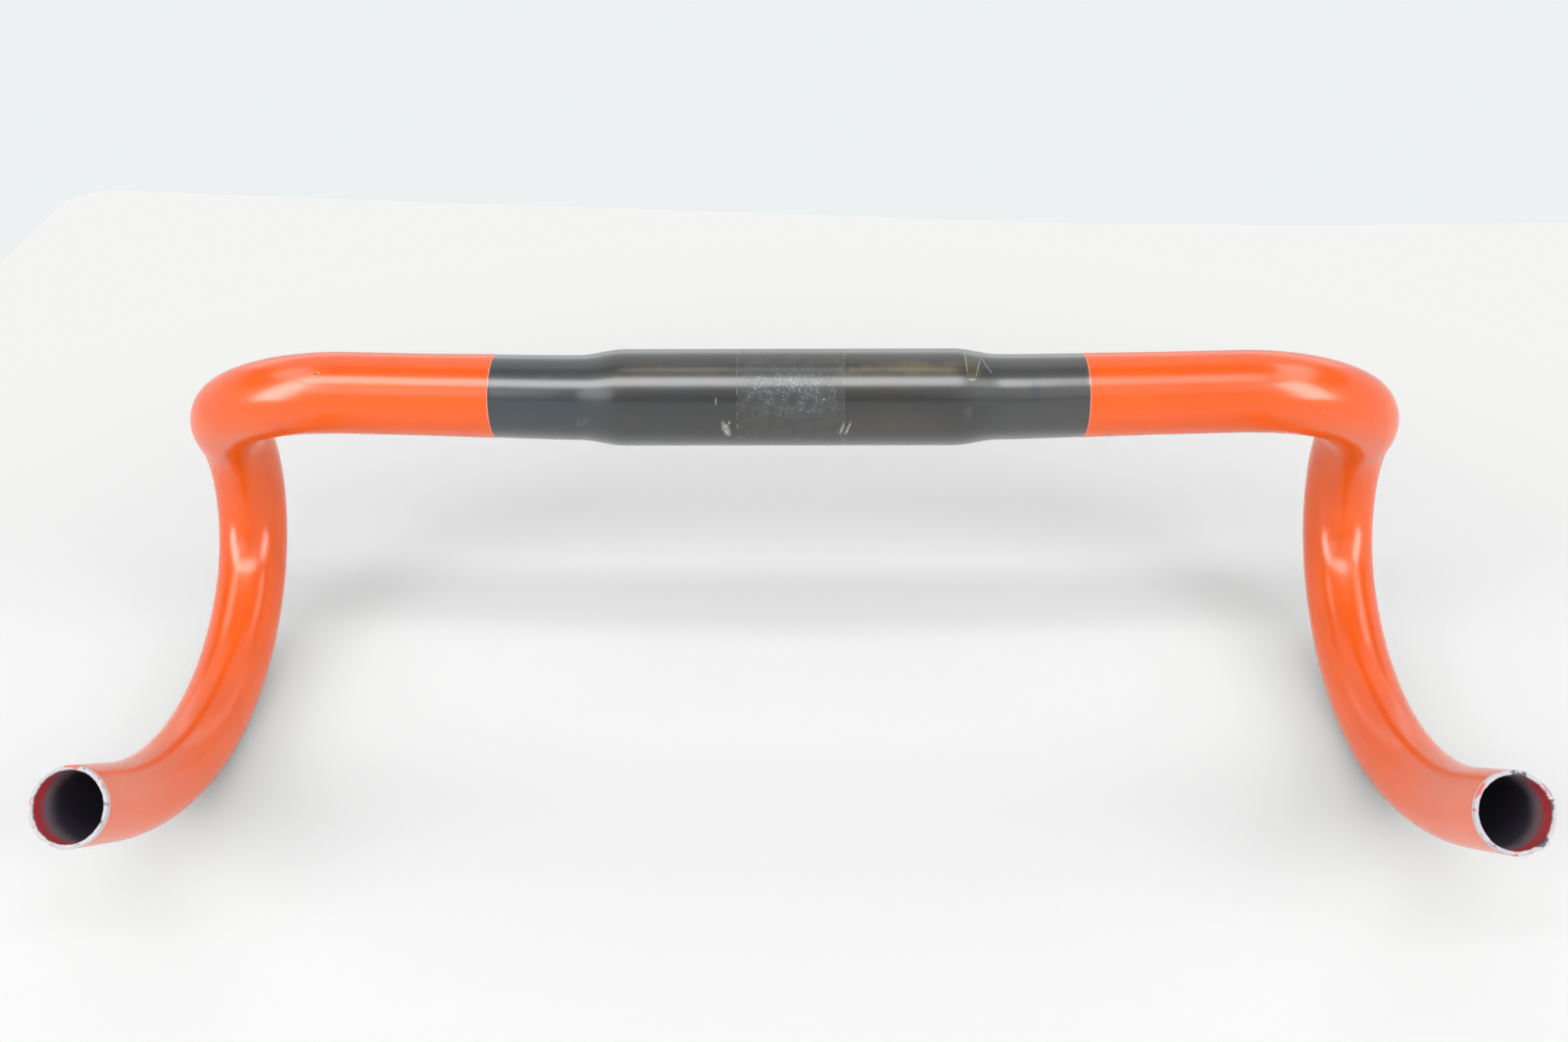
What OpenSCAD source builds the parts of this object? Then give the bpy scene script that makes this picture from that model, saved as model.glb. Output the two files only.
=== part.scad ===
// Drop handlebar of a road bicycle, moulded in carbon fibre as one hollow tube.
// Each half is laid out like a tube bender's table: a straight length, then the
// turn of the bending plane, the bend radius and the bend angle, one after another.
// The bar lies along X, +Y points away from the rider and +Z points up.

/* [Pose] */
// Forward roll of the bar about its clamp, 0 has the ends of the drops level
bar_roll = 45; // [0:5:60]

/* [Stem clamp] */
// Diameter where the stem grips
clamp_d = 31.8; // [31:0.1:35]
// Half of the length that has the full clamp diameter
clamp_half = 53.5; // [40:0.5:54]
// Length of the shoulder between clamp and tops
shoulder_l = 15.5; // [8:0.5:16]
// Wall at the clamp
clamp_wall = 2.6; // [1.5:0.1:4]

/* [Tops] */
// Diameter beside the shoulder
beside_d = 28; // [27.2:0.1:30]
// Diameter of the tops once they have thinned down, and of the start of the corner
tops_d = 27.1; // [25:0.1:28]
// Length over which the tops thin down
thinning_l = 50; // [42:1:54]
// Wall of the tops and the corners
tops_wall = 2.1; // [1.2:0.1:3]
// Half length of the straight middle, shoulders included
middle_half = 70; // [70:1:85]
// Length of each straight top between sweep and corner
tops_l = 70.5; // [50:0.5:100]
// Distance of the paint's edge from the middle
paint_from = 96; // [85:1:110]
// Thickness of the paint
paint_t = 0.08; // [0.05:0.01:0.3]

/* [Sweep] */
// Bend radius of the slight sweep beside the shoulder
sweep_r = 150; // [100:10:300]
// Bend angle of the sweep
sweep_a = 2.2; // [1:0.1:5]
// Turn of the bending plane, 0 bends forwards and 90 bends up
sweep_turn = 50; // [0:5:90]

/* [Corners] */
// Bend radius of the first part of the corner
corner_r = 64; // [50:1:80]
// Bend angle of the first part of the corner
corner_a = 44.2; // [35:0.1:50]
// Turn of the bending plane before the corner
corner_turn = -6.5; // [-12:0.5:6]
// Bend radius of the second part of the corner
ramp_r = 38; // [32:1:60]
// Bend angle of the second part of the corner
ramp_a = 38.8; // [30:0.1:45]
// Turn of the bending plane before the second part
ramp_turn = -7.4; // [-12:0.1:4]
// Length of the corner that keeps the diameter of the tops
corner_even_l = 9; // [1:1:20]

/* [Hooks] */
// Diameter where the hook begins
hook_d = 25.2; // [24:0.1:27]
// Diameter of the drops, which the hook slims down to
drop_d = 24; // [23:0.1:25]
// Bend radius of the top of the hook
hook_r = 42; // [36:1:60]
// Bend angle of the top of the hook
hook_a = 94.2; // [80:0.1:100]
// Turn of the bending plane before the hook
hook_turn = -81; // [-88:0.5:-70]
// Bend radius of the drop
drop_r = 103; // [80:1:120]
// Bend angle of the drop
drop_a = 74.2; // [60:0.1:80]
// Turn of the bending plane before the drop
drop_turn = -9.9; // [-14:0.1:0]

/* [Drop ends] */
// Straight length at each end
end_l = 21.5; // [15:0.5:60]
// Bore of the straight ends
end_bore_d = 21.2; // [18:0.1:21.4]
// Broken edge at the mouth
end_chamfer = 0.3; // [0.1:0.1:0.4]

/* [Hidden] */

black = "#24211f";
orange = "#f2621f";

clamp_r = clamp_d / 2;
tops_ro = tops_d / 2;
tops_ri = tops_ro - tops_wall;
hook_ro = hook_d / 2;
drop_ro = drop_d / 2;
drop_ri = end_bore_d / 2;

// Runs of tube lap by this length, so they fuse into one solid
lap = 0.05;
// Every second run is slimmer by this much at both skins, so its ends lie in its neighbours' walls
slim = 0.01;

// Sides of a lofted section and length of one step along it
sides = 32;
step = 5.5;

// A station on the tube's axis: its point, its direction and the way the next bend turns
function moved(f, l) = [f[0] + l * f[1], f[1], f[2]];
function turned(f, a) = [f[0], f[1], cos(a) * f[2] + sin(a) * cross(f[1], f[2])];
function bent(f, r, a) = [
    f[0] + r * (sin(a) * f[1] + (1 - cos(a)) * f[2]),
    cos(a) * f[1] + sin(a) * f[2],
    cos(a) * f[2] - sin(a) * f[1]
];
function arc_l(r, a) = r * a * PI / 180;

// Stations of the right half at which each run starts
sweep_st = turned([[middle_half, 0, 0], [1, 0, 0], [0, 1, 0]], sweep_turn);
tops_st = turned(bent(sweep_st, sweep_r, sweep_a), -sweep_turn);
paint_l = paint_from - tops_st[0][0];
corner_st = turned(moved(tops_st, tops_l), corner_turn);
ramp_st = turned(bent(corner_st, corner_r, corner_a), ramp_turn);
hook_st = turned(bent(ramp_st, ramp_r, ramp_a), hook_turn);
drop_st = turned(bent(hook_st, hook_r, hook_a), drop_turn);
end_st = bent(drop_st, drop_r, drop_a);

// Outside radius of the bare tube at a distance from the start of the sweep
function thinned(l) = lookup(l, [[0, beside_d / 2], [thinning_l, tops_ro - paint_t]]);

// Stations along a bend with the turns before it taken back, so that the section doesn't twist,
// each with its distance from the start of the loft
function bend_steps(f, r, a, back, s) =
    let (n = ceil(arc_l(r, a) / step))
        [for (i = [0:n - 1]) [turned(bent(f, r, a * i / n), -back), s + arc_l(r, a) * i / n]];

// Puts the local Y axis on a station's direction, with the next bend towards local -X
module at(f) {
    z = cross(f[1], f[2]);
    multmatrix([
        [-f[2][0], f[1][0], z[0], f[0][0]],
        [-f[2][1], f[1][1], z[1], f[0][1]],
        [-f[2][2], f[1][2], z[2], f[0][2]],
        [0, 0, 0, 1]
    ]) children();
}

// Straight run along local Y. Outside and bore are [radius, distance] points from start to end.
module straight(outside, bore) {
    rotate([-90, 0, 0])
        rotate_extrude($fn = 96)
            polygon(concat(outside, [for (i = [len(bore) - 1:-1:0]) bore[i]]));
}

// Bent run that starts along local Y and turns towards local -X
module bend(ro, ri, r, a) {
    lap_a = lap / r * 180 / PI;
    translate([-r, 0, 0])
        rotate([0, 0, -lap_a])
            rotate_extrude(angle = a + lap_a, $fn = 144)
                translate([r, 0])
                    difference() {
                        circle(r = ro, $fn = 72);
                        circle(r = ri, $fn = 72);
                    }
}

// Hollow loft through stations. Outside and bore are tables of radius by distance along it.
module loft(path, outside_r, bore_r) {
    n = len(path);
    b = n * sides;
    // The bore's facets stay outside the true bore
    flat = 1 / cos(180 / sides);
    function ring(f, r) =
        let (u = f[2], v = cross(f[1], f[2]))
            [for (j = [0:sides - 1]) let (a = 360 * j / sides) f[0] + r * (cos(a) * u + sin(a) * v)];
    outside = [for (p = path) each ring(p[0], lookup(p[1], outside_r))];
    bore = [for (p = path) each ring(p[0], flat * lookup(p[1], bore_r))];
    skins = [
        for (i = [0:n - 2], j = [0:sides - 1])
            let (p = i * sides + j, q = i * sides + (j + 1) % sides)
                each [[p, p + sides, q + sides, q], [b + p, b + q, b + q + sides, b + p + sides]]
    ];
    rims = [
        for (j = [0:sides - 1])
            let (q = (j + 1) % sides, e = (n - 1) * sides)
                each [[j, q, b + q, b + j], [e + q, e + j, b + e + j, b + e + q]]
    ];
    polyhedron(concat(outside, bore), concat(skins, rims));
}

// Middle of the bar: clamp diameter, a shoulder on each side and a short straight piece
module middle() {
    ease = [for (i = [0:12]) [clamp_half + shoulder_l * i / 12, (1 + cos(180 * i / 12)) / 2]];
    function profile(clamp, tops) =
        concat([for (e = ease) [tops + (clamp - tops) * e[1], e[0]]], [[tops, middle_half]]);
    function reversed(points, side) =
        [for (i = [len(points) - 1:-1:0]) [points[i][0], side * points[i][1]]];
    outside = profile(clamp_r, beside_d / 2);
    bore = profile(clamp_r - clamp_wall, tops_ri);
    color(black)
        rotate([0, 90, 0])
            rotate_extrude($fn = 128)
                polygon(concat(
                    outside,
                    reversed(bore, 1),
                    [for (p = bore) [p[0], -p[1]]],
                    reversed(outside, -1)
                ));
}

// Unpainted sweep and the unpainted start of the top
module bare_top() {
    sweep_l = arc_l(sweep_r, sweep_a);
    path = concat(
        [[moved(turned(sweep_st, -sweep_turn), -lap), -lap]],
        bend_steps(sweep_st, sweep_r, sweep_a, sweep_turn, 0),
        [[tops_st, sweep_l]]
    );
    bore_r = tops_ri + slim;
    color(black) {
        loft(
            path,
            [[0, thinned(0) - slim], [sweep_l, thinned(sweep_l) - slim]],
            [[0, bore_r], [sweep_l, bore_r]]
        );
        at(tops_st)
            straight(
                [[thinned(sweep_l), -lap], [thinned(sweep_l + paint_l), paint_l]],
                [[tops_ri, -lap], [tops_ri, paint_l]]
            );
    }
}

// Painted straight part of the top, thinning down at first
module painted_top() {
    before_l = arc_l(sweep_r, sweep_a) + paint_l;
    painted_l = tops_l - paint_l;
    bore_r = tops_ri - slim;
    color(orange)
        at(moved(tops_st, paint_l))
            straight(
                [
                    [thinned(before_l) + paint_t, -lap],
                    [tops_ro, thinning_l - before_l],
                    [tops_ro, painted_l]
                ],
                [[bore_r, -lap], [bore_r, painted_l]]
            );
}

// Corner, ramp and the top of the hook, where the tube slims
module corner_and_hook() {
    to_ramp = arc_l(corner_r, corner_a);
    to_hook = to_ramp + arc_l(ramp_r, ramp_a);
    to_drop = to_hook + arc_l(hook_r, hook_a);
    hook_back = ramp_turn + hook_turn;
    path = concat(
        [[moved(corner_st, -lap), -lap]],
        bend_steps(corner_st, corner_r, corner_a, 0, 0),
        bend_steps(ramp_st, ramp_r, ramp_a, ramp_turn, to_ramp),
        bend_steps(hook_st, hook_r, hook_a, hook_back, to_hook),
        [[turned(drop_st, -hook_back - drop_turn), to_drop]]
    );
    color(orange)
        loft(
            path,
            [[corner_even_l, tops_ro - slim], [to_hook, hook_ro], [to_drop, drop_ro - 2 * slim]],
            [[corner_even_l, tops_ri + slim], [to_drop, drop_ri + 2 * slim]]
        );
}

// Drop, and its straight end with an open bore and broken edges
module drop() {
    c = end_chamfer;
    color(orange) {
        at(drop_st) bend(drop_ro - slim, drop_ri + slim, drop_r, drop_a);
        at(end_st)
            straight(
                [[drop_ro, -lap], [drop_ro, end_l - c], [drop_ro - c, end_l]],
                [[drop_ri, -lap], [drop_ri, end_l - c], [drop_ri + c, end_l]]
            );
    }
}

module half_bar() {
    bare_top();
    painted_top();
    corner_and_hook();
    drop();
}

module handlebar() {
    rotate([-bar_roll, 0, 0]) {
        middle();
        half_bar();
        mirror([1, 0, 0]) half_bar();
    }
}

handlebar();
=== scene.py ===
import math

import bpy
import numpy as np
from mathutils import Matrix, Vector


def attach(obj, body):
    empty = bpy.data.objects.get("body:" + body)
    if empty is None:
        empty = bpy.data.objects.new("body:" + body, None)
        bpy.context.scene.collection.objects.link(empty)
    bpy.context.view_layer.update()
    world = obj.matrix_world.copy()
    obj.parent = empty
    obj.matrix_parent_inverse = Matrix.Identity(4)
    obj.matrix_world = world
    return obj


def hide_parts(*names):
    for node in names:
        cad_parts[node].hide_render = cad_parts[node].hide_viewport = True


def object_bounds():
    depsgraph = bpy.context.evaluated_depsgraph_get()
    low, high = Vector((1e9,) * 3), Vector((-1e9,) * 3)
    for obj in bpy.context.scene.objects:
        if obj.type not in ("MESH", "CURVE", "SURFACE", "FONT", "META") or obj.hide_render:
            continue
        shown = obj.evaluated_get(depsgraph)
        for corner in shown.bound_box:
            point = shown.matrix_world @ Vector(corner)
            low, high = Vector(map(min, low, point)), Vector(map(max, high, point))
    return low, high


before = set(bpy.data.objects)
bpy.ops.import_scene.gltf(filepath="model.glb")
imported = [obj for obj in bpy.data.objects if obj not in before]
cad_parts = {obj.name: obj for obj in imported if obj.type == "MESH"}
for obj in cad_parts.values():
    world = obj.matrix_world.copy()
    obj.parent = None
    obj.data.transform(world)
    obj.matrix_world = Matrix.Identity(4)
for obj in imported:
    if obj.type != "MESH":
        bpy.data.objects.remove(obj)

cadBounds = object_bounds()
print("frame loaded")

mm = 0.001

bar = {
    "roll": 45.0,  # forward roll about the clamp, degrees
    # each run along the right half: its length or bend radius, its bend angle, and how far the bending
    # plane is turned before it
    "runs": (
        ("straight", 70 * mm, 0, 0),
        ("sweep", 150 * mm, 2.2, 50),
        ("top", 70.5 * mm, 0, -50),
        ("corner", 64 * mm, 44.2, -6.5),
        ("ramp", 38 * mm, 38.8, -7.4),
        ("hook", 42 * mm, 94.2, -81),
        ("drop", 103 * mm, 74.2, -9.9),
        ("end", 21.5 * mm, 0, 0),
    ),
    "clampHalf": 53.5,   # mm, full clamp diameter up to here
    "shoulder": 15.5,    # mm, length of the cosine shoulder
    "clampExtra": 1.9,   # mm, clamp radius over the tops'
    "boreExtra": 1.85,   # mm, the same for the bore
    # tables in mm along the axis from the middle, and mm
    "bareRadius": ((70, 120), (14.0, 13.47)),                 # the unpainted skin's radius
    "slimming": ((155.26, 221.37, 290.42), (0, 0.95, 1.55)),  # radius lost towards the drops
    "boreRadius": ((155.26, 290.42), (11.45, 10.6)),
    "paintFrom": 96.0,   # mm, distance of the paint's edge from the middle
    "paintThick": 0.08,  # mm
    "paintStep": 0.25,   # mm, length along the bar over which the paint reaches its thickness
    "around": 96,        # points round the section
    "spacing": 1.4,      # mm between rings along the skin
    "boreSpacing": 5.0,  # mm between rings along the bore
}


# Right half of the axis. An arc is p + r sin a d + r (1 - cos a) n, a straight is p + l d.
# Rows hold the distance from the middle, the point, the direction and an untwisted side vector.
def halfPath(spacing):
    p = np.zeros(3)
    d, n = np.array([1.0, 0, 0]), np.array([0, 1.0, 0])
    s0, twist = 0.0, 0.0
    rows = []
    for name, size, degrees, turn in bar["runs"]:
        a = math.radians(turn)
        n = math.cos(a) * n + math.sin(a) * np.cross(d, n)
        twist += a
        length = size * math.radians(degrees) if degrees else size
        count = max(2, math.ceil(length / spacing))
        last = name == "end"
        l = np.linspace(0, length, count + 1 if last else count, endpoint=last)
        if name == "top":  # two rings make the paint's step
            edge = bar["paintFrom"] * mm - s0
            l = np.sort(np.append(l, (edge, edge + bar["paintStep"] * mm)))
        l = l[:, None]
        if degrees:
            t = l / size
            points = p + size * (np.sin(t) * d + (1 - np.cos(t)) * n)
            ways = np.cos(t) * d + np.sin(t) * n
            sides = np.cos(t) * n - np.sin(t) * d
            t = length / size
            p = p + size * (math.sin(t) * d + (1 - math.cos(t)) * n)
            d, n = math.cos(t) * d + math.sin(t) * n, math.cos(t) * n - math.sin(t) * d
        else:
            points, ways = p + l * d, np.broadcast_to(d, (len(l), 3))
            sides = np.broadcast_to(n, (len(l), 3))
            p = p + length * d
        u = math.cos(twist) * sides - math.sin(twist) * np.cross(ways, sides)
        rows.append(np.hstack([s0 + l, points, ways, u]))
        s0 += length
    return np.vstack(rows)


# Both halves from the left mouth to the right one, the left as the right's mirror in X
def wholePath(spacing):
    right = halfPath(spacing * mm)
    flip = np.array([-1, -1, 1, 1, 1, -1, -1, -1, 1, 1.0])
    left = (right * flip)[:0:-1]
    rolled = np.vstack([left, right])
    a = math.radians(bar["roll"])
    turnX = np.array([[1, 0, 0], [0, math.cos(a), -math.sin(a)], [0, math.sin(a), math.cos(a)]])
    for i in (1, 4, 7):
        rolled[:, i:i + 3] = rolled[:, i:i + 3] @ turnX
    return rolled


# Share of the clamp's extra radius: 1 at the clamp, half a cosine wave down to 0 at the tops
def clampShare(far):
    return (1 + np.cos(np.pi * np.clip((far - bar["clampHalf"]) / bar["shoulder"], 0, 1))) / 2


# Outside radius in metres: thinning tops, clamp, the paint's step, and the slimming towards the drops
def skinRadius(s):
    far = np.abs(s) / mm
    paint = bar["paintThick"] * np.clip((far - bar["paintFrom"]) / bar["paintStep"], 0, 1)
    bare = np.interp(far, *bar["bareRadius"]) + bar["clampExtra"] * clampShare(far)
    return mm * (bare + paint - np.interp(far, *bar["slimming"]))


# Inside radius: even in the tops, wider under the clamp, narrower in the hooks
def boreRadius(s):
    far = np.abs(s) / mm
    return mm * (np.interp(far, *bar["boreRadius"]) + bar["boreExtra"] * clampShare(far))


# Ring points p + r (cos a u + sin a v), v = direction x u, as an array of rings by points
def ringGrid(path, radius, angles):
    p, d, u = path[:, 1:4], path[:, 4:7], path[:, 7:10]
    v = np.cross(d, u)
    r = radius[:, :, None]
    c, s = np.cos(angles)[None, :, None], np.sin(angles)[None, :, None]
    return p[:, None] + r * (c * u[:, None] + s * v[:, None])


path = wholePath(bar["spacing"])
barLength = path[-1, 0]
print("path of", len(path), "rings, bar", round(2 * barLength / mm, 1), "mm along its axis")

mouth = {
    "edge": 0.35 * mm,       # how far the broken edge reaches along the skin
    "chipDeep": 0.5 * mm,    # deepest nibble in the mouth's edge
    "chips": 34,             # nibbles round each mouth
    "chipShare": (0.1, 1),   # share of that depth that a chip may have, cubed so that most are small
    "chipNarrow": (9, 30),   # k of a chip's bump
    # how much of the chips reaches the bore's edge, and on the face and at the edge how far they
    # move the skin inward and the rim back
    "chipInner": 0.35,
    "chipInward": (0.1, 0.6),
    "chipBack": (0.2, 0.9),
    "faceFrom": 0.45,        # mm from skin or bore at which a profile point lies on the flat face
    "seed": 7,
    # rim profile: along and outward in mm from the mouth's plane and from the skin's or the bore's edge
    "profile": ((-0.35, 0, 0), (-0.1, -0.05, 0), (0, -0.25, 0), (0, -0.5, 0),
                (0, 0.5, 1), (0, 0.25, 1), (-0.1, 0.05, 1), (-0.5, 0, 1)),
    "residue": (120.0, 13.0, 0.6 * mm),  # dried lump on the right rim: angle, half width in degrees, height
    "residueOut": 0.5,       # share of its height that it stands out beyond the skin
    "boreFrom": 0.6 * mm,    # distance from the mouth at which the bore's rings begin
    "markSoft": 10.0,        # degrees over which a worn colour fades at its ends
    # worn colours round each rim, left then right: middle angle, half width in degrees, strength
    "pink": (((176, 7, 1.0), (215, 8, 0.5), (97, 5, 0.7), (30, 6, 0.35), (320, 10, 0.4)),
             ((207, 14, 1.0), (158, 5, 0.8), (96, 5, 0.8), (20, 8, 0.4), (280, 8, 0.4))),
    "red": (((261, 12, 1.0), (305, 4, 0.6), (140, 4, 0.5)),
            ((316, 13, 1.0), (75, 5, 0.9), (345, 5, 0.5))),
    "dark": (((343, 3, 0.9), (12, 3, 0.8), (280, 3, 0.8), (60, 2, 0.6)),
             ((250, 12, 1.0), (184, 9, 0.8), (120, 11, 1.0), (40, 2, 0.5))),
}


# How far the edge is nibbled at each angle: narrow bumps, exp(-(k sin(da / 2))^2), of seeded size and place
def mouthChips(angles, side):
    rng = np.random.default_rng(mouth["seed"] + side)
    at = rng.uniform(0, 2 * np.pi, mouth["chips"])
    deep = rng.uniform(*mouth["chipShare"], mouth["chips"]) ** 3
    narrow = rng.uniform(*mouth["chipNarrow"], mouth["chips"])
    gap = np.sin((angles[:, None] - at[None]) / 2)
    return np.clip((deep * np.exp(-(narrow * gap) ** 2)).sum(axis=1), 0, 1)


# A worn colour's strength at each angle: the largest, over its places, of strength times a soft-edged window
def rimMarks(angles, places):
    at, half, strength = np.array(places, float).T
    gap = np.abs((np.degrees(angles)[:, None] - at[None] + 180) % 360 - 180)
    return (strength * np.clip((half - gap) / mouth["markSoft"] + 0.5, 0, 1)).max(axis=1)


# Rings in one loop: skin from the left mouth to the right, right rim, bore back to the left, left rim
def barSkin():
    around = bar["around"]
    angles = np.linspace(0, 2 * np.pi, around, endpoint=False)
    ones = np.ones(around)
    outer = path[np.abs(path[:, 0]) < barLength - mouth["edge"]]
    bore = wholePath(bar["boreSpacing"])
    bore = bore[np.abs(bore[:, 0]) < barLength - mouth["boreFrom"]][::-1]
    blocks, coords, marks, kinds = [], [], [], []

    def add(grid, along, radius, kind, wear=None):
        blocks.append(grid)
        c = np.empty(grid.shape)  # the attribute tubePoint: along the bar, then across it in an even frame
        c[:, :, 0] = along
        c[:, :, 1] = radius * np.cos(angles)
        c[:, :, 2] = radius * np.sin(angles)
        coords.append(c)
        marks.append(np.broadcast_to(np.zeros(3) if wear is None else wear, grid.shape))
        kinds.append(np.full(len(grid), kind))

    def addRun(rings, radius, kind):
        radius = radius[:, None] * ones
        add(ringGrid(rings, radius, angles), rings[:, :1], radius, kind)

    def addRim(end, side):
        s = end[0, 0]
        away = math.copysign(1, s)
        chip = mouthChips(angles, side)
        at, half, high = mouth["residue"]
        lump = high * side * np.clip(1 - ((np.degrees(angles) - at) / half) ** 2, 0, 1)
        wear = np.stack([rimMarks(angles, mouth[name][side]) for name in ("pink", "red", "dark")], axis=1)
        for along, out, inner in mouth["profile"] if side else mouth["profile"][::-1]:
            r0 = (boreRadius if inner else skinRadius)(end[:1, 0])[0]
            place = 0 if abs(out) > mouth["faceFrom"] else 1
            cut = chip * mouth["chipDeep"] * (mouth["chipInner"] if inner else 1)
            r = r0 + out * mm * ones + (cut if inner else -cut) * mouth["chipInward"][place]
            r = r + (0 if inner else mouth["residueOut"]) * lump
            back = along * mm - cut * mouth["chipBack"][place] + (lump if out else 0)
            grid = ringGrid(end, r[None, :], angles) + (back * away)[None, :, None] * end[:, None, 4:7]
            add(grid, s + back * away, r, 2, wear)

    addRun(outer, skinRadius(outer[:, 0]), 0)
    addRim(path[-1:], 1)
    addRun(bore, boreRadius(bore[:, 0]), 3)
    addRim(path[:1], 0)
    points, coord, mark, kind = (np.concatenate(x) for x in (blocks, coords, marks, kinds))
    rings = len(points)
    i, j = np.meshgrid(np.arange(rings), np.arange(around), indexing="ij")
    i2, j2 = (i + 1) % rings, (j + 1) % around
    quads = np.stack([i * around + j, i * around + j2, i2 * around + j2, i2 * around + j], axis=2)
    following = np.roll(kind, -1)
    slots = np.maximum(kind, following)  # 0 paint, 1 bare laminate, 2 rim, 3 bore
    middle = (coord[:, 0, 0] + np.roll(coord[:, 0, 0], -1)) / 2
    slots[(slots == 0) & (np.abs(middle) < bar["paintFrom"] * mm)] = 1
    points, coord, mark = (x.reshape(-1, 3) for x in (points, coord, mark))
    return points, coord, mark, quads.reshape(-1, 4), np.repeat(slots, around)


def meshObject(name, points, faces):
    mesh = bpy.data.meshes.new(name)
    mesh.from_pydata(points.tolist(), [], faces.tolist())
    thing = bpy.data.objects.new(name, mesh)
    bpy.context.scene.collection.objects.link(thing)
    return thing


points, tubePoint, rimWear, quads, slots = barSkin()
handlebar = meshObject("handlebarMoulding", points, quads)
handlebar.data.polygons.foreach_set("use_smooth", np.ones(len(quads), dtype=bool))
for name, values in (("tubePoint", tubePoint), ("rimWear", rimWear)):
    attribute = handlebar.data.attributes.new(name, "FLOAT_VECTOR", "POINT")
    attribute.data.foreach_set("vector", values.astype(np.float32).ravel())
print("moulding of", len(quads), "faces")


# Adds a node, sets its settings and fills its inputs by name or number with values or other sockets
def put(tree, kind, links=None, **settings):
    node = tree.nodes.new(kind)
    for key, value in settings.items():
        setattr(node, key, value)
    for key, value in (links or {}).items():
        if isinstance(value, bpy.types.NodeSocket):
            tree.links.new(value, node.inputs[key])
        else:
            node.inputs[key].default_value = value
    return node


def sums(tree, operation, a, b=0.0, c=0.0, clamp=False):
    return put(tree, "ShaderNodeMath", {0: a, 1: b, 2: c}, operation=operation, use_clamp=clamp).outputs[0]


def blendColour(tree, share, a, b):
    return put(tree, "ShaderNodeMix", {0: share, 6: a, 7: b}, data_type="RGBA").outputs[2]


# Smooth step of a value from low..high to toLow..toHigh
def ramp(tree, value, low, high, toLow=0.0, toHigh=1.0):
    values = {"Value": value, "From Min": low, "From Max": high, "To Min": toLow, "To Max": toHigh}
    return put(tree, "ShaderNodeMapRange", values, interpolation_type="SMOOTHSTEP").outputs[0]


def noise(tree, point, scale, detail=2.0, rough=0.5):
    values = {"Vector": point, "Scale": scale, "Detail": detail, "Roughness": rough}
    return put(tree, "ShaderNodeTexNoise", values).outputs[0]


def newGroup(name, inputs, outputs):
    tree = bpy.data.node_groups.new(name, "ShaderNodeTree")
    for label, kind, value in inputs:
        socket = tree.interface.new_socket(name=label, in_out="INPUT", socket_type=kind)
        if value is not None:
            socket.default_value = value
    for label, kind in outputs:
        tree.interface.new_socket(name=label, in_out="OUTPUT", socket_type=kind)
    return tree, put(tree, "NodeGroupInput").outputs, put(tree, "NodeGroupOutput").inputs


def useGroup(tree, group, **values):
    return put(tree, "ShaderNodeGroup", values, node_tree=group).outputs[0]


number, vector = "NodeSocketFloat", "NodeSocketVector"

# A patch on the tube: (|x|^p + |y|^p)^(1/p) about a place along the bar and round it, with a ragged edge.
# Lean shears it, so that it runs aslant.
patch, ins, outs = newGroup("tubePatch", (
    ("Point", vector, None), ("Along", number, 0.0), ("Round", number, 0.0), ("HalfLength", number, 0.01),
    ("HalfWidth", number, 0.01), ("Square", number, 2.0), ("Soft", number, 0.3), ("Ragged", number, 0.0),
    ("Grain", number, 800.0), ("Lean", number, 0.0)), (("Mask", number),))
turning = {"Vector": ins["Point"], "Angle": sums(patch, "MULTIPLY", ins["Round"], -1.0)}
turned = put(patch, "ShaderNodeVectorRotate", turning, rotation_type="X_AXIS").outputs[0]
parts = put(patch, "ShaderNodeSeparateXYZ", {0: turned}).outputs
dx = sums(patch, "SUBTRACT", parts[0], ins["Along"])
dx = sums(patch, "SUBTRACT", dx, sums(patch, "MULTIPLY", parts[2], ins["Lean"]))
dx = sums(patch, "DIVIDE", dx, ins["HalfLength"])
dy = sums(patch, "DIVIDE", parts[2], ins["HalfWidth"])
far = sums(patch, "ADD", *(sums(patch, "POWER", sums(patch, "ABSOLUTE", d), ins["Square"]) for d in (dx, dy)))
far = sums(patch, "POWER", far, sums(patch, "DIVIDE", 1.0, ins["Square"]))
uneven = sums(patch, "SUBTRACT", noise(patch, ins["Point"], ins["Grain"], 3.0, 0.6), 0.5)
far = sums(patch, "ADD", far, sums(patch, "MULTIPLY", uneven, ins["Ragged"]))
inside = ramp(patch, far, 1.0, sums(patch, "SUBTRACT", 1.0, ins["Soft"]))
inside = sums(patch, "MULTIPLY", inside, sums(patch, "GREATER_THAN", parts[1], 0.0))
patch.links.new(inside, outs["Mask"])

# Loose specks: cells of a Voronoi pattern, a share of them chosen by their colour
specks, ins, outs = newGroup("specks", (
    ("Point", vector, None), ("Scale", number, 500.0), ("Share", number, 0.1),
    ("Size", number, 0.3)), (("Mask", number),))
cells = put(specks, "ShaderNodeTexVoronoi", {"Vector": ins["Point"], "Scale": ins["Scale"]})
cellColour = put(specks, "ShaderNodeSeparateColor", {0: cells.outputs["Color"]}).outputs[0]
chosen = sums(specks, "LESS_THAN", cellColour, ins["Share"])
ragged = sums(specks, "MULTIPLY", sums(specks, "SUBTRACT", noise(specks, ins["Point"], 4000.0, 2.0), 0.5), 0.25)
near = sums(specks, "ADD", cells.outputs["Distance"], ragged)
near = ramp(specks, near, ins["Size"], sums(specks, "MULTIPLY", ins["Size"], 0.6))
specks.links.new(sums(specks, "MULTIPLY", near, chosen), outs["Mask"])

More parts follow.
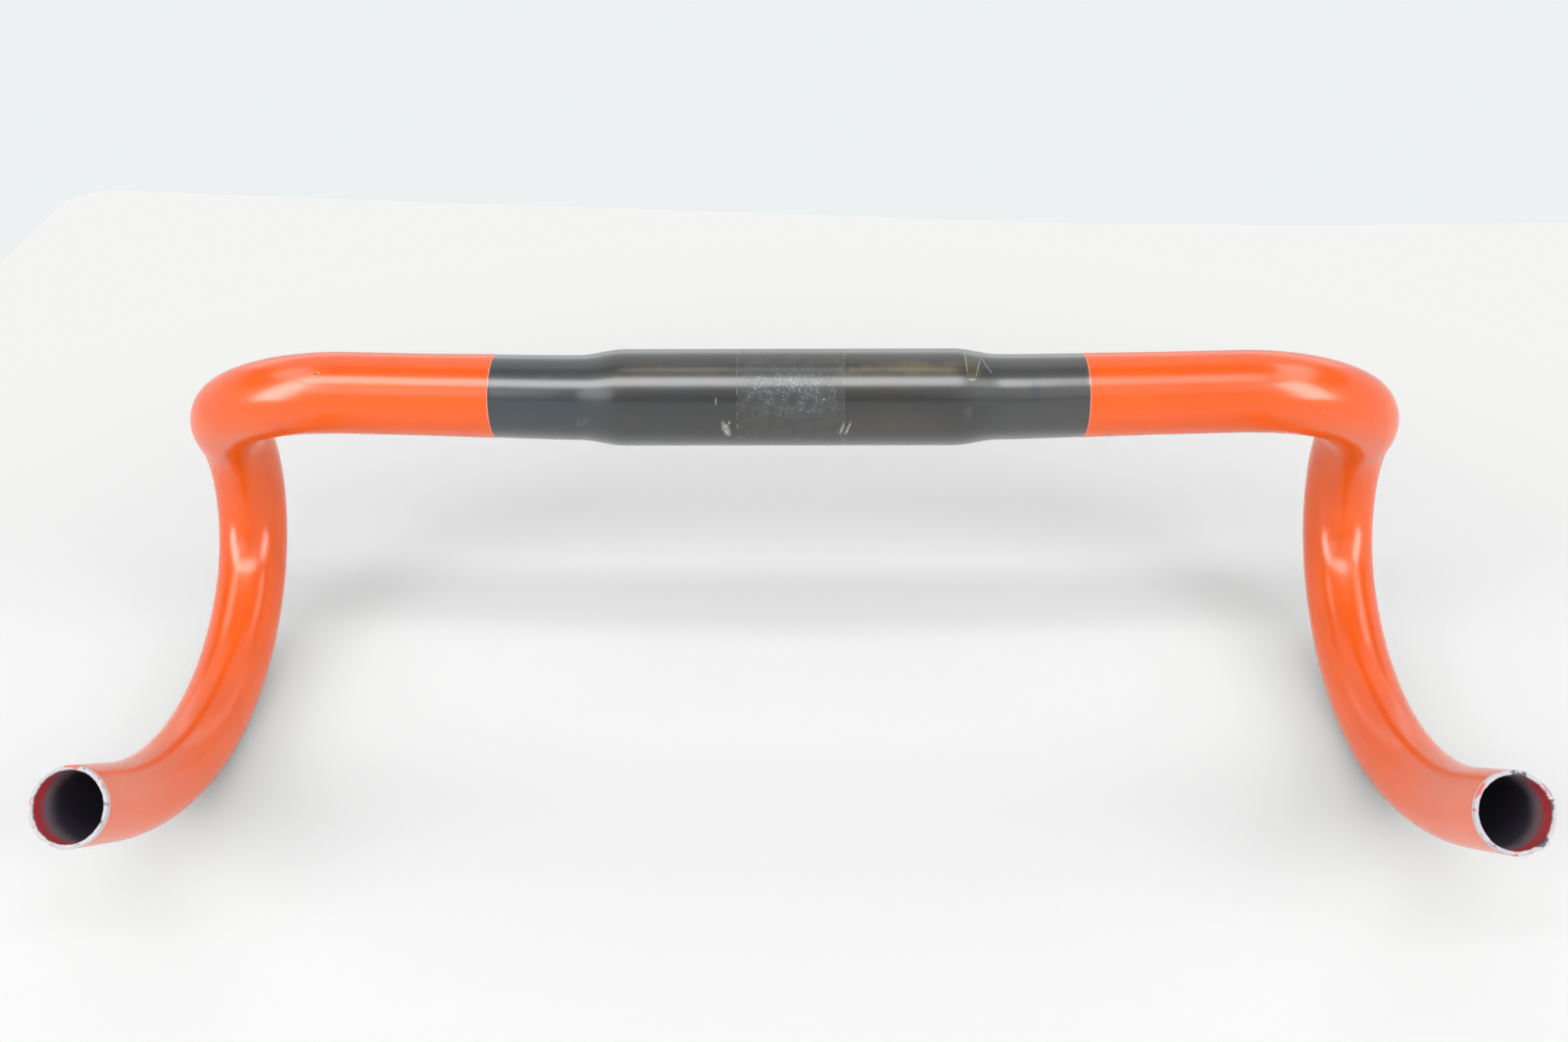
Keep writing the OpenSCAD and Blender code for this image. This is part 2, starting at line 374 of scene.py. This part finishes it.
# Hairline scratches: thin bands of a noise that is stretched round the tube or along it
hairlines, ins, outs = newGroup("hairlines", (
    ("Point", vector, None), ("Stretch", vector, (1.0, 1.0, 1.0)), ("Scale", number, 300.0),
    ("Thin", number, 0.01), ("Share", number, 0.5)), (("Mask", number),))
stretching = {0: ins["Point"], 1: ins["Stretch"]}
long = put(hairlines, "ShaderNodeVectorMath", stretching, operation="MULTIPLY").outputs[0]
line = sums(hairlines, "ABSOLUTE", sums(hairlines, "SUBTRACT", noise(hairlines, long, ins["Scale"], 1.0), 0.5))
line = ramp(hairlines, line, ins["Thin"], 0.0)
keptFrom = sums(hairlines, "SUBTRACT", 1.0, ins["Share"])
kept = ramp(hairlines, noise(hairlines, ins["Point"], 60.0, 1.0), keptFrom, 1.0)
hairlines.links.new(sums(hairlines, "MULTIPLY", line, kept), outs["Mask"])


def newMaterial(name):
    material = bpy.data.materials.new(name)
    material.use_nodes = True
    tree = material.node_tree
    tree.nodes.clear()
    shader = put(tree, "ShaderNodeBsdfPrincipled")
    put(tree, "ShaderNodeOutputMaterial", {"Surface": shader.outputs[0]})
    point = put(tree, "ShaderNodeAttribute", attribute_name="tubePoint").outputs["Vector"]
    return material, tree, shader, point


def finishMaterial(tree, shader, tone, rough, height, reach):
    tree.links.new(tone, shader.inputs["Base Color"])
    tree.links.new(rough, shader.inputs["Roughness"])
    bump = put(tree, "ShaderNodeBump", {"Height": height, "Strength": 1.0, "Distance": reach})
    tree.links.new(bump.outputs[0], shader.inputs["Normal"])


def colour(red, green, blue):
    return (red, green, blue, 1.0)


# A patch from its row: mm along, degrees round, half length and half width in mm, and the group's other inputs
def mark(tree, point, along, degrees, halfLength, halfWidth, **more):
    return useGroup(tree, patch, Point=point, Along=along * mm, Round=math.radians(degrees),
                    HalfLength=halfLength * mm, HalfWidth=halfWidth * mm, **more)


def scaled(tree, value, factor):
    return sums(tree, "MULTIPLY", value, factor)


# Lays a tint over a tone where a mask is, at a strength
def paintOver(tree, tone, mask, strength, tint):
    return blendColour(tree, scaled(tree, mask, strength), tone, tint)


# The largest of several masks
def deepest(tree, masks):
    whole = masks[0]
    for mask in masks[1:]:
        whole = sums(tree, "MAXIMUM", whole, mask)
    return whole


# Noise taken about zero
def swing(tree, point, scale, size, detail=2.0, rough=0.5):
    return scaled(tree, sums(tree, "SUBTRACT", noise(tree, point, scale, detail, rough), 0.5), size)


paintLook = {
    "orange": colour(0.95, 0.117, 0.003),
    "deep": colour(0.91, 0.106, 0.003),
    "edge": colour(0.78, 0.36, 0.27),
    "pit": colour(0.16, 0.035, 0.015),
    "primer": colour(0.78, 0.70, 0.66),
    "rough": 0.225,
    "specular": 0.64,
    "paleDull": colour(0.80, 0.30, 0.225),
    "bounce": colour(0.34, 0.31, 0.30),  # what the paint throws on the sheet
    "edgeFrom": (0.5, 0.15),     # mm past the paint's start between which its lighter edge fades
    "pits": dict(Scale=85.0, Share=0.03, Size=0.028),
    "chips": ((-151.7, 167.0, 0.45, 0.5), (-150.6, 171.5, 0.3, 0.3),
              (207.0, 232.0, 0.35, 0.9), (171.0, 214.0, 0.25, 0.3)),
    "blister": (-151.4, 169.0, 1.7, 1.7),
    "blisterBare": (-150.9, 165.5, 0.35, 0.3),
    "paleFrom": 375 * mm,       # the paint turns paler and duller between these distances along the bar
    "paleTo": 440 * mm,
    "paleStrength": 0.42,
    "grain": 0.00006,            # reach of the surface's unevenness
}

paint, tree, shader, point = newMaterial("orangePaint")
shader.inputs["Specular IOR Level"].default_value = paintLook["specular"]
along = sums(tree, "ABSOLUTE", put(tree, "ShaderNodeSeparateXYZ", {0: point}).outputs[0])
cloud = ramp(tree, noise(tree, point, 45.0, 3.0), 0.35, 0.7)
tone = blendColour(tree, cloud, paintLook["orange"], paintLook["deep"])
paintEdge = ramp(tree, along, *((bar["paintFrom"] + past) * mm for past in paintLook["edgeFrom"]))
tone = paintOver(tree, tone, paintEdge, 0.6, paintLook["edge"])
pits = useGroup(tree, specks, Point=point, **paintLook["pits"])
chips = deepest(tree, [mark(tree, point, *chip, Ragged=0.6, Soft=0.4) for chip in paintLook["chips"]])
tone = paintOver(tree, tone, sums(tree, "MAXIMUM", pits, chips), 0.8, paintLook["pit"])
blister = mark(tree, point, *paintLook["blister"], Ragged=0.3, Soft=0.9)
blisterBare = mark(tree, point, *paintLook["blisterBare"], Ragged=0.4)
tone = paintOver(tree, tone, blisterBare, 0.8, paintLook["primer"])
# the paint is paler and duller towards the ends
uneven = sums(tree, "ADD", along, swing(tree, point, 60.0, 14 * mm, 4.0, 0.6))
paling = ramp(tree, uneven, paintLook["paleFrom"], paintLook["paleTo"])
tone = paintOver(tree, tone, paling, paintLook["paleStrength"], paintLook["paleDull"])
thrown = put(tree, "ShaderNodeLightPath").outputs["Is Diffuse Ray"]
tone = blendColour(tree, thrown, tone, paintLook["bounce"])
wear = useGroup(tree, hairlines, Point=point, Stretch=(1.0, 0.35, 0.35), Scale=160.0, Thin=0.005, Share=0.4)
rough = sums(tree, "ADD", paintLook["rough"], swing(tree, point, 500.0, 0.05, 3.0))
rough = sums(tree, "ADD", rough, scaled(tree, wear, 0.05))
peel = scaled(tree, noise(tree, point, 190.0, 1.0), 0.16)
height = sums(tree, "ADD", scaled(tree, noise(tree, point, 900.0), 0.04), peel)
height = sums(tree, "SUBTRACT", height, sums(tree, "MAXIMUM", pits, chips))
height = sums(tree, "SUBTRACT", height, scaled(tree, wear, 0.02))
height = sums(tree, "ADD", height, scaled(tree, blister, 2.2))
finishMaterial(tree, shader, tone, rough, height, paintLook["grain"])
print("orange paint")

laminateLook = {
    "black": colour(0.016, 0.018, 0.021),
    "brown": colour(0.019, 0.017, 0.013),
    "blueGrey": colour(0.020, 0.028, 0.035),
    "stain": colour(0.115, 0.090, 0.042),
    # pale grey for smears, smudges and the ground ring's haze, and for painted sheen
    "smudgeAndSheen": colour(0.050, 0.052, 0.045),
    "dirt": colour(0.012, 0.012, 0.011),
    "grit": colour(0.34, 0.36, 0.38),
    "scuff": colour(0.42, 0.45, 0.38),
    "film": colour(0.55, 0.53, 0.42),
    "rough": 0.36,
    "coat": 1.0,
    "coatRough": 0.19,
    "gritAt": (1.0, 17.1),  # mm, middle and half length of the ground ring
    "grain": 0.00010,       # reach of the surface's unevenness
}

laminate, tree, shader, point = newMaterial("bareLaminate")
shader.inputs["Coat Weight"].default_value = laminateLook["coat"]
shader.inputs["Coat Roughness"].default_value = laminateLook["coatRough"]
alongSigned = put(tree, "ShaderNodeSeparateXYZ", {0: point}).outputs[0]
along = sums(tree, "ABSOLUTE", alongSigned)
cloud = noise(tree, point, 38.0, 4.0, 0.6)
thick = ramp(tree, along, 68 * mm, 55 * mm)
leftward = ramp(tree, alongSigned, 20 * mm, -75 * mm)
tone = blendColour(tree, leftward, laminateLook["black"], laminateLook["blueGrey"])
# painted sheen: the right tops are painted lighter, standing in for more light falling on them
tone = blendColour(tree, ramp(tree, alongSigned, 55 * mm, 75 * mm, 0.0, 0.6), tone, laminateLook["smudgeAndSheen"])
browned = sums(tree, "MULTIPLY", thick, ramp(tree, cloud, 0.3, 0.7, 0.35, 1.0))
tone = blendColour(tree, browned, tone, laminateLook["brown"])

# the ring that the stem has ground: grit between two fine dotted lines
gritMiddle, gritHalf = laminateLook["gritAt"]
gritAt = sums(tree, "ABSOLUTE", sums(tree, "SUBTRACT", alongSigned, gritMiddle * mm))
wavy = sums(tree, "ADD", gritAt, swing(tree, point, 300.0, 1.2 * mm))
gritRing = ramp(tree, wavy, (gritHalf + 0.2) * mm, (gritHalf - 0.6) * mm)
lineAt = sums(tree, "ABSOLUTE", sums(tree, "SUBTRACT", gritAt, gritHalf * mm))
gritLines = ramp(tree, lineAt, 0.3 * mm, 0.1 * mm)
gritLines = sums(tree, "MULTIPLY", gritLines, ramp(tree, noise(tree, point, 900.0, 3.0, 0.7), 0.5, 0.64))
grains = ramp(tree, noise(tree, point, 2300.0, 3.0, 0.7), 0.50, 0.64)
grains = sums(tree, "MULTIPLY", grains, ramp(tree, noise(tree, point, 260.0, 3.0, 0.6), 0.38, 0.62))
groundBand = mark(tree, point, gritMiddle, 188.0, gritHalf, 8.5, Square=5.0, Ragged=0.35, Grain=260.0, Soft=0.4)
gritty = sums(tree, "MULTIPLY", gritRing, grains)
gritty = sums(tree, "MULTIPLY", gritty, sums(tree, "ADD", 0.20, scaled(tree, groundBand, 0.60)))
tone = paintOver(tree, tone, groundBand, 0.5, laminateLook["blueGrey"])
tone = paintOver(tree, tone, gritRing, 0.20, laminateLook["smudgeAndSheen"])
tone = paintOver(tree, tone, gritty, 0.9, laminateLook["grit"])
tone = paintOver(tree, tone, gritLines, 0.35, laminateLook["scuff"])

# stains under the clear coat and smears, and in the sheen and shine rows a painted sheen, lighter patches that
# stand in for reflected light: rows of colour, strength and the patch
laminateMarks = {
    "longBrown": ("stain", 0.45, (-38.0, 160.0, 27.0, 3.6), dict(Ragged=1.2, Grain=120.0, Soft=1.0)),
    "olive": ("stain", 0.90, (41.5, 158.5, 22.0, 4.0), dict(Square=2.4, Ragged=1.3, Grain=140.0, Soft=0.85)),
    "oliveStart": ("stain", 0.5, (20.0, 163.0, 6.5, 2.6), dict(Ragged=1.6, Grain=260.0, Soft=0.7)),
    "upperSheen": ("smudgeAndSheen", 0.5, (40.0, 141.0, 24.0, 4.5), dict(Square=3.0, Ragged=0.8, Grain=90.0, Soft=0.9)),
    "bluishSmear": ("blueGrey", 1.0, (78.5, 181.0, 2.5, 6.5), dict(Ragged=1.0, Grain=260.0, Soft=0.9)),
    "smudge": ("smudgeAndSheen", 0.9, (-77.5, 165.0, 2.2, 1.6), dict(Ragged=1.6, Grain=420.0, Soft=0.9, Lean=-0.8)),
    "lowerSmear": ("smudgeAndSheen", 0.9, (-65.8, 228.0, 3.4, 3.4), dict(Ragged=1.5, Grain=320.0, Soft=0.9, Lean=-0.6)),
    "lowerOlive": ("stain", 0.16, (34.0, 226.0, 26.0, 8.0), dict(Square=3.0, Ragged=0.9, Grain=90.0, Soft=0.9)),
    "underShine": ("smudgeAndSheen", 0.7, (57.5, 211.0, 2.2, 4.0), dict(Ragged=1.2, Grain=320.0, Soft=0.9)),
}
for tint, strength, place, more in laminateMarks.values():
    tone = paintOver(tree, tone, mark(tree, point, *place, **more), strength, laminateLook[tint])
dirtDots = useGroup(tree, specks, Point=point, Scale=420.0, Share=0.5, Size=0.4)
dirtDots = sums(tree, "MULTIPLY", dirtDots, mark(tree, point, 22.5, 164.0, 4.0, 2.2, Ragged=0.8, Soft=0.6))
dirtSpot = mark(tree, point, 18.6, 159.0, 1.5, 1.3, Ragged=1.2, Grain=700.0, Soft=0.6)
dirtDots = sums(tree, "MAXIMUM", dirtDots, dirtSpot)
tone = paintOver(tree, tone, dirtDots, 0.9, laminateLook["dirt"])

# torn film at the right shoulder: its thin broken outline
filmPlaces = ((57.0, 148.0, 0.28, 6.2, 0.055), (58.6, 172.5, 1.5, 0.5, 0.0), (61.0, 152.0, 0.22, 5.0, -0.25),
              (62.6, 141.0, 0.25, 1.6, 0.5), (63.6, 151.0, 0.25, 1.8, 0.6), (64.6, 158.0, 0.22, 1.2, 0.7))
film = deepest(tree, [mark(tree, point, *place, Lean=lean, Ragged=0.9, Grain=900.0, Soft=0.5)
                      for *place, lean in filmPlaces])
filmBody = mark(tree, point, 59.3, 151.0, 2.4, 6.0, Square=4.0, Ragged=0.3, Soft=0.3)
tone = paintOver(tree, tone, filmBody, 0.35, laminateLook["stain"])
tone = paintOver(tree, tone, film, 0.42, laminateLook["film"])

# scuffs where the stem's face plate has rubbed, a nick and a fleck
scuffPlaces = ((-19.8, 234.0, 1.5, 4.2, 0.25), (17.4, 233.0, 0.7, 3.4, -0.25),
               (19.4, 232.0, 0.5, 3.8, -0.3), (-18.7, 224.0, 0.5, 0.8, 0.0))
scuffs = deepest(tree, [mark(tree, point, *place, Lean=lean, Ragged=1.1, Grain=700.0, Soft=0.5)
                        for *place, lean in scuffPlaces])
scuffs = sums(tree, "MULTIPLY", scuffs, ramp(tree, noise(tree, point, 1300.0, 3.0, 0.7), 0.32, 0.6))
nickPlaces = ((-22.8, 198.0, 0.22, 1.5), (11.6, 196.0, 0.4, 0.35))
nicks = deepest(tree, [mark(tree, point, *place, Soft=0.5) for place in nickPlaces])
tone = paintOver(tree, tone, scuffs, 0.85, laminateLook["scuff"])
tone = paintOver(tree, tone, nicks, 0.75, laminateLook["scuff"])
lines = useGroup(tree, hairlines, Point=point, Stretch=(1.0, 0.3, 0.3), Scale=200.0, Thin=0.008, Share=0.5)
tone = paintOver(tree, tone, lines, 0.10, laminateLook["scuff"])

rough = sums(tree, "ADD", laminateLook["rough"], swing(tree, point, 700.0, 0.10, 4.0, 0.6))
rough = sums(tree, "ADD", rough, scaled(tree, gritRing, 0.10))
rough = sums(tree, "ADD", rough, scaled(tree, scuffs, 0.25))
height = scaled(tree, noise(tree, point, 420.0, 3.0), 0.18)
height = sums(tree, "ADD", height, scaled(tree, noise(tree, point, 90.0, 2.0), 0.6))
rubbed = sums(tree, "MULTIPLY", scaled(tree, groundBand, 1.6), noise(tree, point, 1500.0, 3.0, 0.7))
height = sums(tree, "ADD", height, rubbed)
height = sums(tree, "ADD", height, scaled(tree, filmBody, 0.4))
height = sums(tree, "ADD", height, scaled(tree, film, 0.5))
height = sums(tree, "SUBTRACT", height, scaled(tree, sums(tree, "MAXIMUM", scuffs, nicks), 0.6))
finishMaterial(tree, shader, tone, rough, height, laminateLook["grain"])
print("bare laminate")

rimLook = {
    "primer": colour(0.60, 0.575, 0.61),
    "pink": colour(0.62, 0.24, 0.27),
    "red": colour(0.80, 0.10, 0.03),
    "laminate": colour(0.045, 0.04, 0.045),
    # each worn colour's number in rimWear, grain, and how much of it shows at the bore and at the skin
    "worn": ((0, "pink", 620.0, 0.25, 1.0), (1, "red", 800.0, 0.35, 1.0), (2, "laminate", 760.0, 1.0, 0.55)),
    "shows": (0.40, 0.62),  # strengths between which a worn colour comes up
    "wallIn": 10.6 * mm,
    "wall": 1.4 * mm,
    "rough": 0.55,
    "grain": 0.00020,
}

rim, tree, shader, point = newMaterial("chippedRim")
wearParts = put(tree, "ShaderNodeAttribute", attribute_name="rimWear").outputs["Vector"]
wearParts = put(tree, "ShaderNodeSeparateXYZ", {0: wearParts}).outputs
flecks = noise(tree, point, 900.0, 3.0, 0.7)
# place across the wall, 0 at the bore and 1 at the skin: the distance from the tube's axis
radial = put(tree, "ShaderNodeVectorMath", {0: point, 1: (0.0, 1.0, 1.0)}, operation="MULTIPLY").outputs[0]
radial = put(tree, "ShaderNodeVectorMath", {0: radial}, operation="LENGTH").outputs["Value"]
across = sums(tree, "DIVIDE", sums(tree, "SUBTRACT", radial, rimLook["wallIn"]), rimLook["wall"])
tone = rimLook["primer"]
for part, name, grain, inner, outer in rimLook["worn"]:
    spread = sums(tree, "MULTIPLY", wearParts[part], ramp(tree, across, 0.1, 0.9, inner, outer))
    spread = sums(tree, "ADD", spread, swing(tree, point, grain, 2.2, 4.0, 0.65))
    tone = blendColour(tree, ramp(tree, spread, *rimLook["shows"], 0.0, 0.9), tone, rimLook[name])
lipDark = sums(tree, "ADD", across, swing(tree, point, 700.0, 0.9, 3.0, 0.7))
tone = paintOver(tree, tone, ramp(tree, lipDark, 0.14, 0.0), 0.8, rimLook["laminate"])
rough = sums(tree, "ADD", rimLook["rough"], scaled(tree, flecks, 0.2))
height = sums(tree, "ADD", flecks, scaled(tree, noise(tree, point, 420.0, 3.0, 0.65), 0.6))
finishMaterial(tree, shader, tone, rough, height, rimLook["grain"])
print("chipped rim")

boreLook = {
    "crimson": colour(0.55, 0.030, 0.040),
    "mauve": colour(0.24, 0.185, 0.215),
    "black": colour(0.042, 0.038, 0.056),
    "sprayedSide": -math.radians(145),  # turns the side that faces the middle of the bar to the front
    "radius": 10.6 * mm,
    "toMauve": (2.5 * mm, 8 * mm),      # distances into the mouth between which the colours change, the last change to black partly painted shade
    "toShadedBlack": (7 * mm, 14 * mm),
    "rough": 0.5,
    "grain": 0.00012,
}

boreSkin, tree, shader, point = newMaterial("oversprayedShadedBore")
along = sums(tree, "ABSOLUTE", put(tree, "ShaderNodeSeparateXYZ", {0: point}).outputs[0])
inward = sums(tree, "SUBTRACT", barLength, along)
inward = sums(tree, "ADD", inward, swing(tree, point, 180.0, 4 * mm, 4.0, 0.65))
# the overspray lies thickest on one side, as the cosine of the angle from it
turning = {"Vector": point, "Angle": boreLook["sprayedSide"]}
turnedBore = put(tree, "ShaderNodeVectorRotate", turning, rotation_type="X_AXIS").outputs[0]
facing = sums(tree, "DIVIDE", put(tree, "ShaderNodeSeparateXYZ", {0: turnedBore}).outputs[1], boreLook["radius"])
tone = blendColour(tree, ramp(tree, inward, *boreLook["toMauve"]), boreLook["crimson"], boreLook["mauve"])
tone = blendColour(tree, ramp(tree, facing, 0.45, -0.15), tone, boreLook["mauve"])
# deeper in, the bore turns black: partly the laminate's own colour, partly painted shade deep inside the bore
tone = blendColour(tree, ramp(tree, inward, *boreLook["toShadedBlack"]), tone, boreLook["black"])
dust = noise(tree, point, 1600.0, 3.0, 0.7)
rough = sums(tree, "ADD", boreLook["rough"], scaled(tree, dust, 0.3))
height = sums(tree, "ADD", dust, scaled(tree, noise(tree, point, 300.0, 3.0), 1.5))
finishMaterial(tree, shader, tone, rough, height, boreLook["grain"])
print("bore")

for look in (paint, laminate, rim, boreSkin):
    handlebar.data.materials.append(look)
handlebar.data.polygons.foreach_set("material_index", slots.astype(np.int32))
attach(handlebar, "root")
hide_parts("handlebar")

stageSizes = {
    # the sheet's left and back edges on the floor, from the front round to the right
    "edge": ((-0.475, -1.0), (-0.468, 0.0), (-0.459, 0.342), (-0.456, 0.430), (-0.440, 0.444),
             (-0.252, 0.425), (-0.009, 0.404), (0.169, 0.388), (0.308, 0.384), (0.451, 0.387),
             (2.4, 0.41), (2.4, -2.4), (-0.49, -2.4)),
    "below": 0.1 * mm,       # gap under the bar, which the next sheet lies further down
    "belowSheet": 2 * mm,
    "reach": 12.0,           # half width of the surface that the sheet lies on
    "sheet": colour(0.884, 0.885, 0.879),
    "behind": colour(0.80, 0.835, 0.845),
    "plainFrom": 0.36,       # the floor fades to its own plain colour between these distances
    "plainTo": 0.62,
    "centre": (0.0, -0.24, 0.0),  # from here
    "sheetPlain": colour(0.913, 0.913, 0.90),
    "behindPlain": colour(0.847, 0.879, 0.888),
    "rough": 0.75,
    "specular": 0.2,
}


# The rays that look at a thing: straight from the camera, by reflection or through glass
def lookingRays(tree):
    rays = put(tree, "ShaderNodeLightPath").outputs
    seen = sums(tree, "ADD", rays["Is Camera Ray"], rays["Is Glossy Ray"])
    return sums(tree, "ADD", seen, rays["Is Transmission Ray"], clamp=True)


# Nearby the floor takes light and shadow. Further off, it shows its plain colour to the rays that look at it.
def flatSheet(name, corners, z, tint, plain):
    thing = meshObject(name, np.array([(x, y, z) for x, y in corners]), np.arange(len(corners))[None])
    material = bpy.data.materials.new(name + "Paper")
    material.use_nodes = True
    tree = material.node_tree
    shader = tree.nodes["Principled BSDF"]
    shader.inputs["Base Color"].default_value = tint
    shader.inputs["Roughness"].default_value = stageSizes["rough"]
    shader.inputs["Specular IOR Level"].default_value = stageSizes["specular"]
    glow = put(tree, "ShaderNodeEmission", {"Color": plain, "Strength": 1.0}).outputs[0]
    place = put(tree, "ShaderNodeTexCoord").outputs["Object"]
    away = put(tree, "ShaderNodeVectorMath", {0: place, 1: stageSizes["centre"]}, operation="DISTANCE")
    share = ramp(tree, away.outputs["Value"], stageSizes["plainFrom"], stageSizes["plainTo"])
    share = sums(tree, "MULTIPLY", share, lookingRays(tree))
    mixed = put(tree, "ShaderNodeMixShader", {0: share, 1: shader.outputs[0], 2: glow}).outputs[0]
    tree.links.new(mixed, tree.nodes["Material Output"].inputs["Surface"])
    thing.data.materials.append(material)


floorZ = cadBounds[0][2] - stageSizes["below"]
reach = stageSizes["reach"]
flatSheet("whiteSheet", stageSizes["edge"], floorZ, stageSizes["sheet"], stageSizes["sheetPlain"])
square = ((-reach, -reach), (reach, -reach), (reach, reach), (-reach, reach))
flatSheet("backdrop", square, floorZ - stageSizes["belowSheet"], stageSizes["behind"], stageSizes["behindPlain"])

room = {
    "light": colour(0.94, 0.97, 1.0),
    "strength": 0.15,         # what lights the bar from the room
    "pale": colour(0.847, 0.879, 0.888),
    "paleUpTo": (0.30, 0.40),  # height of a looking ray's direction at which the pale backdrop ends
}

scene = bpy.context.scene
scene.world = bpy.data.worlds.new("studio")
scene.world.use_nodes = True
tree = scene.world.node_tree
background = tree.nodes["Background"]
background.inputs["Color"].default_value = room["light"]
background.inputs["Strength"].default_value = room["strength"]
paleRoom = put(tree, "ShaderNodeBackground", {"Color": room["pale"], "Strength": 1.0}).outputs[0]
upward = put(tree, "ShaderNodeSeparateXYZ", {0: put(tree, "ShaderNodeTexCoord").outputs["Generated"]}).outputs[2]
share = sums(tree, "MULTIPLY", ramp(tree, upward, room["paleUpTo"][1], room["paleUpTo"][0]), lookingRays(tree))
mixed = put(tree, "ShaderNodeMixShader", {0: share, 1: background.outputs[0], 2: paleRoom}).outputs[0]
tree.links.new(mixed, tree.nodes["World Output"].inputs["Surface"])

# softboxes: place, target, size, brightness per unit of area (times pi and the area it gives the power),
# whether it casts shadows, whether the matt part of a surface takes its light, and whether the gloss does
lamps = {
    "keyEdge": ((0.0, -0.235, 0.74), (0, 0, 0), (1.1, 0.10), 4.4, True, True, False),
    "keyLeft": ((-0.25, -0.295, 0.74), (-0.25, 0, 0), (1.04, 0.29), 7.4, True, False, True),
    "keyRight": ((0.44, -0.295, 0.74), (0.44, 0, 0), (0.34, 0.29), 3.2, True, False, True),
    "frontFill": ((0.0, -0.78, 0.67), (0, 0, 0), (2.4, 0.50), 2.1, False, True, False),
    "frontLeft": ((-0.62, -0.73, 0.64), (-0.2, 0, 0), (0.52, 0.40), 1.9, True, False, True),
    "frontMiddle": ((-0.19, -0.75, 0.65), (-0.1, 0, 0), (0.34, 0.40), 0.12, True, False, True),
    "frontRight": ((0.48, -0.75, 0.65), (0.2, 0, 0), (0.70, 0.40), 0.80, True, False, True),
    "backFill": ((0.0, 1.2, 0.85), (0, 0, 0), (3.0, 1.6), 0.95, False, True, False),
    "backSheen": ((0.0, 1.15, 0.88), (0, 0, 0), (3.0, 1.7), 0.80, True, False, True),
    "leftFill": ((-0.91, -0.44, 0.40), (-0.2, 0, -0.05), (0.40, 0.7), 4.0, True, True, False),
    "rightFill": ((0.91, -0.44, 0.40), (0.2, 0, -0.05), (0.40, 0.7), 3.8, True, True, False),
    "leftGlint": ((-0.91, -0.46, 0.38), (-0.2, 0, -0.05), (0.34, 0.66), 8.5, True, False, True),
    "rightGlint": ((0.91, -0.46, 0.38), (0.2, 0, -0.05), (0.34, 0.66), 7.5, True, False, True),
    "leftHigh": ((-0.78, -0.03, 0.76), (-0.2, 0, -0.08), (0.74, 0.34), 3.0, True, False, True),
    "rightHigh": ((0.84, 0.08, 0.76), (0.2, 0, -0.08), (0.74, 0.34), 3.2, True, False, True),
    "overhead": ((-0.02, 0.13, 0.75), (-0.02, 0, 0), (0.30, 0.13), 1.9, True, False, True),
}
for name, (place, target, size, bright, castsShadow, lightsMatt, lightsGloss) in lamps.items():
    lamp = bpy.data.lights.new(name, "AREA")
    lamp.shape = "RECTANGLE"
    lamp.size, lamp.size_y = size
    lamp.energy = bright * math.pi * size[0] * size[1]
    lamp.use_shadow = castsShadow
    thing = bpy.data.objects.new(name, lamp)
    thing.location = place
    thing.rotation_euler = (Vector(target) - Vector(place)).to_track_quat("-Z", "Y").to_euler()
    thing.visible_camera = False
    thing.visible_diffuse = lightsMatt
    thing.visible_glossy = lightsGloss
    scene.collection.objects.link(thing)
print("sheet, backdrop and light")

view = {
    "place": (0.00795, -0.40526, 0.24780),
    "down": 36.344,  # degrees below level
    "left": 1.407,
    "lean": -0.83,
    "focal": 33.075,
    "sensor": 36,
    "nearest": 0.01,
}

camera = bpy.data.objects.new("camera", bpy.data.cameras.new("camera"))
camera.data.sensor_width = view["sensor"]
camera.data.lens = view["focal"]
camera.data.clip_start = view["nearest"]
turns = (Matrix.Rotation(math.radians(view["left"]), 4, "Z")
         @ Matrix.Rotation(math.radians(90 - view["down"]), 4, "X")
         @ Matrix.Rotation(math.radians(view["lean"]), 4, "Z"))
camera.matrix_world = Matrix.Translation(view["place"]) @ turns
scene.collection.objects.link(camera)
scene.camera = camera
scene.view_settings.view_transform = "Standard"
print("camera")

bpy.context.view_layer.update()
